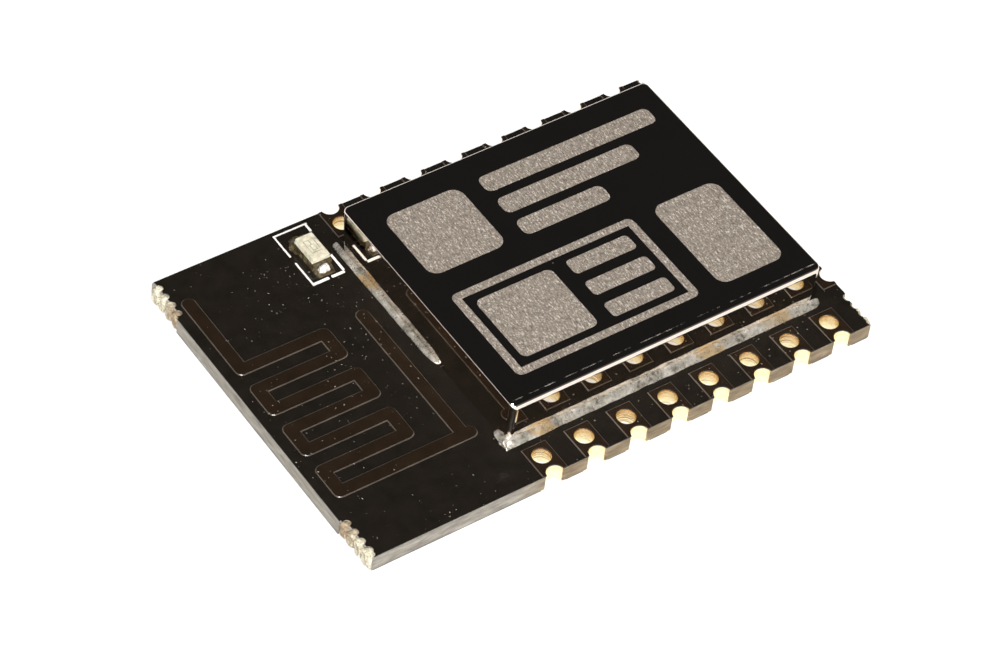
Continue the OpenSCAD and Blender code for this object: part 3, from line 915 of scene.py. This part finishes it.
marks = bmesh.new()
layout = [  # each mark's rectangles and corner radius
    ([(-3.3, 1.2, 0.3, 4.8)], 0.5),
    ([(1.2, 3.9, 9.6, 4.8)], 0.3),
    ([(1.2, 2.55, 7.8, 3.45)], 0.3),
    ([(1.2, 1.2, 5.4, 2.1)], 0.3),
    (frame_rects(-3.3, -4.8, 5.4, 0.0, 0.35), 0.3),
    ([(-2.6, -4.1, 1.0, -0.7)], 0.3),
    ([(1.7, -1.5, 4.7, -0.7)], 0.2),
    ([(1.7, -2.8, 4.7, -2.0)], 0.2),
    ([(1.7, -4.1, 4.7, -3.3)], 0.2),
    ([(6.4, -4.8, 9.6, 0.0)], 0.5),
]
for rects, radius in layout:
    mark = etched(rects, can_high.z, radius)
    thickened(mark, 0.004)
    merge(marks, mark)
marks = as_object(marks, "etched_marks", [frosted])
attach(marks, "root")


# Solder seams: the can's foot is soldered to bare copper strips on the board. The
# tin has flowed out to each strip's edge and set in a low, uneven fillet, with some
# amber flux left on it. The near seam wraps the corner beside the antenna.
set_solder, n, shader = new_material("set_solder", Metallic=0.75)
patches = clouds(n, 1500.0)
grain = clouds(n, 7500.0, -0.32, 0.32)
cloudy = node(n, "Math", operation="ADD")
grey = ramp(
    n,
    [
        (0.0, (0.24, 0.225, 0.195)),
        (0.3, (0.60, 0.57, 0.505)),
        (0.7, (0.86, 0.82, 0.74)),
        (1.0, (1.0, 0.98, 0.92)),
    ],
)
wander = clouds(n, 1900.0, -0.0005, 0.0005)
apart = node(n, "SeparateXYZ")
sum_xy = node(n, "Math", operation="ADD")
run = node(n, "Math", operation="ADD")
length = spread_over(n, -0.012, 0.012)
# how much flux lies along the board's diagonal
flux = [(0.0, 0.0), (0.118, 0.0), (0.135, 0.85), (0.155, 0.85), (0.170, 0.0), (0.450, 0.0)]
flux += [(0.458, 0.85), (0.482, 0.85), (0.494, 0.0), (0.575, 0.0), (0.590, 0.4), (0.620, 0.85)]
fluxed = ramp(n, [(place, (much, much, much)) for place, much in flux + [(0.640, 0.0)]])
amber = node(n, "Mix", data_type="RGBA")
amber.inputs["B"].default_value = (0.80, 0.58, 0.31, 1)
sheen = clouds(n, 4200.0, 0.20, 0.42)
bump = node(n, "Bump", in_Strength=0.22, in_Distance=0.00002)
in_place(n, patches, grain, wander, sheen, apart)
wire(
    (patches, "Value", cloudy, 0),
    (grain, "Value", cloudy, 1),
    (cloudy, "Value", grey, "Fac"),
    (apart, "X", sum_xy, 0),
    (apart, "Y", sum_xy, 1),
    (sum_xy, "Value", run, 0),
    (wander, "Value", run, 1),
    (run, "Value", length, "Value"),
    (length, "Result", fluxed, "Fac"),
    (fluxed, "Color", amber, "Factor"),
    (grey, "Color", amber, "A"),
    (amber, "Result", shader, "Base Color"),
    (sheen, "Value", shader, "Roughness"),
    (cloudy, "Value", bump, "Height"),
    (bump, "Normal", shader, "Normal"),
)


def down_to_board(bm):
    """Closes a sheet of solder below, with a flat foot on the laminate."""
    skirt = bmesh.ops.extrude_face_region(bm, geom=bm.faces[:], use_keep_orig=True)["geom"]
    for item in skirt:
        if isinstance(item, bmesh.types.BMVert):
            item.co.z = CORE_HIGH
    bmesh.ops.recalc_face_normals(bm, faces=bm.faces)


SEAM_STEP = 0.07


def seam(start, along, outward, length, width, height, ends, seed, bead=False):
    """A run of solder from start: a hollow fillet from the wall's foot outward, or a round bead."""
    round_start, round_end = ends
    bm = bmesh.new()
    steps = max(12, int(length / SEAM_STEP))
    bmesh.ops.create_grid(bm, x_segments=steps, y_segments=12, size=0.5)
    along, outward = Vector(along), Vector(outward)
    for vert in bm.verts:
        u, v = vert.co.x + 0.5, vert.co.y + 0.5
        run = u * length
        lump = noise.fractal(Vector((run * 1.1, seed, v * 0.6)), 1.0, 2.0, 2)
        fine = noise.fractal(Vector((run * 4.0, seed + 9, v * 2.0)), 1.0, 2.0, 2)
        narrow = 1.0
        if round_start and run < round_start:
            narrow = (1 - (1 - run / round_start) ** 2) ** 0.5
        if round_end and length - run < round_end:
            narrow = (1 - (1 - (length - run) / round_end) ** 2) ** 0.5
        spread = width * (1 + 0.10 * lump) * max(narrow, 0.02)
        climb = height * (1 + 0.30 * lump + 0.08 * fine) * max(narrow, 0.02)
        swell = (1 - v * v) ** 0.5 if bead else (1 - v) ** 1.9 + 0.4 * v * (1 - v)
        vert.co = Vector(start) + along * run + outward * (v * spread)
        vert.co.z = MASK_TOP + 0.004 + climb * swell
    down_to_board(bm)
    return bm


FOOT_Y = can_high.y - FOOT_TUCK
SEAM_W, SEAM_H = 0.30, 0.22
to_left, to_right, to_front, to_rear = (-1, 0, 0), (1, 0, 0), (0, -1, 0), (0, 1, 0)
start = can_low.x - 0.16, -FOOT_Y, 0
front = seam(start, to_right, to_front, 15.42, SEAM_W, SEAM_H, (0, 0.45), 1.0)
start = LEFT_X + 0.06, -FOOT_Y - 0.2, 0
merge(front, seam(start, to_rear, to_left, 1.0, 0.27, 0.16, (0.12, 0.3), 5.0))
corner = bmesh.new()
bmesh.ops.create_icosphere(corner, subdivisions=4, radius=1)
corner_at = Vector((can_low.x + 0.20, -FOOT_Y + 0.10, MASK_TOP - 0.01))
for vert in corner.verts:
    vert.co *= 1 + 0.10 * noise.fractal(vert.co * 1.7, 1.0, 2.0, 3)
    vert.co = corner_at + Vector((0.40 * vert.co.x, 0.38 * vert.co.y, 0.21 * vert.co.z))
    vert.co.z = max(vert.co.z, CORE_HIGH)
merge(front, corner)
start = can_low.x + 0.4, FOOT_Y, 0
rear = seam(start, to_right, to_rear, 14.8, SEAM_W, SEAM_H, (0.3, 0.3), 2.0)
side = seam((LEFT_X, 6.3, 0), to_front, to_left, 7.5, 0.24, 0.10, (0.2, 1.2), 3.0, bead=True)
end = seam((RIGHT_X, -3.0, 0), to_rear, to_right, 6.0, 0.2, 0.08, (0.2, 0.2), 4.0, bead=True)
for bm, name, stands_for in (
    (front, "seam_front", ["solder_front", "ground_strips"]),
    (rear, "seam_rear", ["solder_rear"]),
    (side, "seam_side", ["solder_side"]),
    (end, "seam_end", ["solder_end"]),
):
    piece = as_object(bm, name, [set_solder], smooth=True)
    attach(piece, "root")
    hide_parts(*stands_for)


# Printed box: white ink screened on the mask round the LED, with a gap in each of
# its long sides. The ink stands up a little and its edge is not quite true.


def clouded(name, scale, stops, rough=None, bumpy=None, **sockets):
    """A finish coloured by patches. rough: its sheen's scale, low, high. bumpy: strength, depth."""
    made, n, shader = new_material(name, **sockets)
    patches = clouds(n, scale)
    tone = ramp(n, stops)
    in_place(n, patches)
    wire((patches, "Value", tone, "Fac"), (tone, "Color", shader, "Base Color"))
    if rough:
        sheen = clouds(n, *rough)
        in_place(n, sheen)
        wire((sheen, "Value", shader, "Roughness"))
    if bumpy:
        bump = node(n, "Bump", in_Strength=bumpy[0], in_Distance=bumpy[1])
        wire((patches, "Value", bump, "Height"), (bump, "Normal", shader, "Normal"))
    return made


ink_white = clouded(
    "ink_white",
    5000.0,
    [(0.0, (0.72, 0.68, 0.66)), (0.3, (0.92, 0.89, 0.88)), (1.0, (0.96, 0.94, 0.94))],
    bumpy=(0.4, 0.00001),
    Roughness=0.6,
    Specular_IOR_Level=0.3,
)

INK_W, INK_THIN, INK_GAP, INK_T = 0.13, 0.08, 0.36, 0.013
ink_low, ink_high = box_mm("ink_box")
mid = (ink_low + ink_high) / 2
sides = [
    (ink_low.x, ink_low.y, mid.x - 0.02, ink_low.y + INK_W),
    (mid.x + 0.10, ink_low.y, ink_high.x - 0.09, ink_low.y + INK_W),
    (ink_low.x, ink_high.y - INK_THIN, ink_high.x, ink_high.y),
    (ink_low.x, ink_low.y, ink_low.x + INK_THIN, mid.y + 0.04 - INK_GAP / 2),
    (ink_low.x, mid.y + 0.04 + INK_GAP / 2, ink_low.x + INK_THIN, ink_high.y),
    (ink_high.x - INK_W, ink_low.y + 0.14, ink_high.x - 0.03, ink_low.y + 1.1),
    (ink_high.x - INK_W, ink_high.y - 0.5, ink_high.x - 0.03, ink_high.y),
]
ink = etched(sides, MASK_TOP + INK_T, 0.03, 4)
thickened(ink, INK_T + 0.005)
ink = as_object(ink, "printed_box", [ink_white])
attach(ink, "root")
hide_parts("ink_box")


# Indicator LED: a chip of white board with a metal cap at each end, and a block of
# clear cream resin moulded over the die. It is soldered to two small lands.
clear_resin = clouded(
    "cream_resin",
    3800.0,
    [(0.0, (0.42, 0.41, 0.28)), (0.35, (0.66, 0.63, 0.49)), (1.0, (0.90, 0.86, 0.75))],
    bumpy=(0.5, 0.00003),
    Roughness=0.18,
    Subsurface_Weight=0.2,
    Subsurface_Scale=0.0002,
)
die_grey = clouded(
    "die_grey",
    6000.0,
    [(0.0, (0.20, 0.19, 0.13)), (0.6, (0.42, 0.40, 0.30)), (1.0, (0.66, 0.63, 0.52))],
    Roughness=0.4,
)
fresh_solder = clouded(
    "fresh_solder",
    5200.0,
    [(0.0, (0.22, 0.19, 0.15)), (0.22, (0.70, 0.67, 0.62)), (0.4, (0.98, 0.97, 0.95))],
    rough=(7000.0, 0.15, 0.4),
    Metallic=0.45,
)
flux_brown = clouded(
    "flux_brown",
    4200.0,
    [(0.0, (0.02, 0.015, 0.008)), (0.6, (0.085, 0.066, 0.036)), (1.0, (0.24, 0.20, 0.12))],
    Roughness=0.25,
)

led_low, led_high = box_mm("led_base")
body_low, body_high = box_mm("led_body")
LENS_H = 0.24
lens_block = bmesh.new()
verts = bar(lens_block, Vector((body_low.x, body_low.y, body_high.z - LENS_H)), body_high)
for vert in verts:
    if vert.co.z > body_high.z - 0.1:
        vert.co.x += 0.05 if vert.co.x < centre("led_body").x else -0.05
flank_low = body_high.x - 0.14, body_low.y + 0.02, body_low.z
flank_high = body_high.x, body_high.y - 0.02, body_high.z - 0.06
bar(lens_block, flank_low, flank_high)
rounded(lens_block, lens_block.edges[:], 0.035, 3)
lens_block = as_object(lens_block, "led_lens", [clear_resin])
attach(lens_block, "root")
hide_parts("led_body")

# the die and its frame show through the resin as faint lines
LINE = 0.035
mid = centre("led_body")
inner = frame_rects(mid.x - 0.24, mid.y - 0.36, mid.x + 0.24, mid.y + 0.36, LINE)
inner += frame_rects(mid.x - 0.10, mid.y - 0.24, mid.x + 0.12, mid.y + 0.10, LINE)
inner.append((mid.x - 0.01, mid.y + 0.10, mid.x + 0.03, mid.y + 0.36))
die_marks = etched(inner, body_high.z + 0.001, 0.012, 3)
thickened(die_marks, 0.004)
die_marks = as_object(die_marks, "led_die_marks", [die_grey])
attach(die_marks, "root")
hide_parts("led_die")

# the chip is coloured the same dark brown as the flux, so its sides show dark below the lens
base_block = bmesh.new()
bar(base_block, led_low, Vector((led_high.x, led_high.y, body_high.z - LENS_H)))
rounded(base_block, base_block.edges[:], 0.015, 2)
base_block = as_object(base_block, "led_chip", [flux_brown])
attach(base_block, "root")
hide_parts("led_base")

for end_name, high in (("lower", 0.12), ("upper", 0.22)):
    low, top = box_mm(f"led_solder_{end_name}")
    toe = -1 if end_name == "lower" else 1
    heel = top.y if toe < 0 else low.y
    blob = bmesh.new()
    bmesh.ops.create_grid(blob, x_segments=14, y_segments=10, size=0.5)
    for vert in blob.verts:
        u, v = vert.co.x, vert.co.y + 0.5
        lump = noise.fractal(Vector((u * 4 + toe * 3, v * 4, 0.3)), 1.0, 2.0, 3)
        vert.co.x = centre("led_base").x + u * (led_high.x - led_low.x) * (1.0 - 0.12 * v * v)
        vert.co.y = heel + toe * v * (top.y - low.y)
        swell = (1 - v) ** 1.7 * (1 - (2 * u) ** 4 * 0.5)
        vert.co.z = MASK_TOP + 0.005 + high * swell * (1 + 0.35 * lump)
    down_to_board(blob)
    blob = as_object(blob, f"led_joint_{end_name}", [flux_brown], smooth=True)
    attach(blob, "root")
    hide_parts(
        f"led_solder_{end_name}",
        f"led_terminal_{end_name}",
        *(["led_lands"] if toe < 0 else []),
    )

# the lower joint is heaped with solder, and a film of flux has crept out round the upper one
heap = bmesh.new()
bmesh.ops.create_icosphere(heap, subdivisions=4, radius=1)
for vert in heap.verts:
    lump = 1 + 0.22 * noise.fractal(vert.co * 1.9, 1.0, 2.0, 3)
    taper = 1 - 0.35 * vert.co.y
    vert.co = Vector((0.25 * vert.co.x * taper, 0.20 * vert.co.y, 0.24 * vert.co.z)) * lump
    vert.co += Vector((centre("led_base").x + 0.02, led_low.y - 0.07, MASK_TOP + 0.05))
    vert.co.z = max(vert.co.z, MASK_TOP)
heap = as_object(heap, "led_heap", [fresh_solder], smooth=True)
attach(heap, "root")

film = bmesh.new()
bmesh.ops.create_circle(film, cap_ends=True, segments=72, radius=1)
for vert in film.verts:
    reach = 1 + 0.25 * noise.fractal(vert.co * 1.8, 1.0, 2.0, 4)
    vert.co = Vector((0.50 * vert.co.x, 0.52 * vert.co.y, 0)) * reach
    vert.co += Vector((centre("led_base").x - 0.06, led_high.y - 0.10, MASK_TOP + 0.012))
thickened(film, 0.016)
film = as_object(film, "led_flux_film", [flux_brown])
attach(film, "root")


# The circuit under the can: moulded chips, ceramic parts, a crystal and their metal
# ends. The lid hides them, so the CAD solids stay, each with its own finish.
moulded = clouded(
    "moulded_black",
    9000.0,
    [(0.0, (0.0156, 0.0156, 0.0164)), (1.0, (0.0264, 0.0264, 0.0266))],
    rough=(9000.0, 0.4, 0.7),
)
fired = clouded(
    "fired_ceramic", 7000.0, [(0.0, (0.26, 0.17, 0.10)), (1.0, (0.42, 0.30, 0.20))], Roughness=0.6
)

hidden = {
    "processor": moulded,
    "memory_chip": moulded,
    "resistor": moulded,
    "capacitor": fired,
    "inductor": fired,
    "crystal_base": fired,
    "crystal_lid": tinned,
    "processor_terminals": set_solder,
    "memory_leads": set_solder,
}
for name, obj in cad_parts.items():
    kind = name if name in hidden else name.rsplit("_", 1)[0]
    if kind in hidden:
        obj.data.materials.clear()
        obj.data.materials.append(hidden[kind])


# Studio: a white table that is lit from all round the camera's side. The far half of
# the room is dark, and that is what the lid and the mask mirror.
table_white, n, shader = new_material("table_white", Roughness=0.9, Specular_IOR_Level=0.1)
shader.inputs["Base Color"].default_value = (0.36, 0.36, 0.36, 1)
shader.inputs["Emission Color"].default_value = (1.0, 1.0, 0.995, 1)
seen = node(n, "LightPath")
either = node(n, "Math", operation="MAXIMUM")
through = node(n, "Math", operation="MAXIMUM")
glow = node(n, "Math", operation="MULTIPLY")
glow.inputs[1].default_value = 0.72
wire(
    (seen, "Is Camera Ray", either, 0),
    (seen, "Is Glossy Ray", either, 1),
    (either, "Value", through, 0),
    (seen, "Is Transmission Ray", through, 1),
    (through, "Value", glow, 0),
    (glow, "Value", shader, "Emission Strength"),
)
TABLE_HALF, TABLE_GAP = 2000, 0.03
table = bmesh.new()
bmesh.ops.create_grid(table, x_segments=1, y_segments=1, size=TABLE_HALF)
bmesh.ops.translate(table, vec=(0, 0, -TABLE_GAP), verts=table.verts)
table = as_object(table, "table", [table_white])

world = bpy.data.worlds.new("studio")
bpy.context.scene.world = world
world.use_nodes = True
n = world.node_tree.nodes
sky = n["Background"]
where = node(n, "TexCoord")
parts = node(n, "SeparateXYZ")
lean = node(n, "Math", operation="ADD")
fade = spread_over(n, 0.0, -0.5, 0.012, 0.15, interpolation_type="SMOOTHSTEP")
seen = node(n, "LightPath")
white = node(n, "Mix", data_type="FLOAT")
white.inputs["B"].default_value = 1.0
sky.inputs["Color"].default_value = (1.0, 1.0, 1.0, 1)
wire(
    (where, "Generated", parts, "Vector"),
    (parts, "Y", lean, 0),
    (parts, "Z", lean, 1),
    (lean, "Value", fade, "Value"),
    (fade, "Result", white, "A"),
    (seen, "Is Camera Ray", white, "Factor"),
    (white, "Result", sky, "Strength"),
)


def lamp(name, place, size, watts, colour):
    """An oblong lamp at place, turned to the module."""
    light = bpy.data.lights.new(name, "AREA")
    light.shape = "RECTANGLE"
    light.size, light.size_y = size
    light.energy = watts
    light.color = colour
    obj = bpy.data.objects.new(name, light)
    bpy.context.scene.collection.objects.link(obj)
    aim = Vector(place).to_track_quat("Z", "Y")
    obj.matrix_world = Matrix.Translation(place) @ aim.to_matrix().to_4x4()


lamp("key_box", (-0.1045, -0.1245, 0.365), (0.10, 0.10), 1.6, (1.0, 0.97, 0.93))
lamp("camera_side", (-0.24, -0.34, 0.15), (0.46, 0.26), 1.5, (1.0, 0.96, 0.91))
lamp("front_low", (0.05, -0.42, 0.05), (0.90, 0.09), 0.30, (1.0, 0.935, 0.865))
lamp("left_low", (-0.42, -0.12, 0.13), (0.40, 0.20), 0.40, (1.0, 0.97, 0.93))
lamp("back_low", (0.26, 0.36, 0.07), (0.50, 0.10), 0.10, (1.0, 0.97, 0.93))
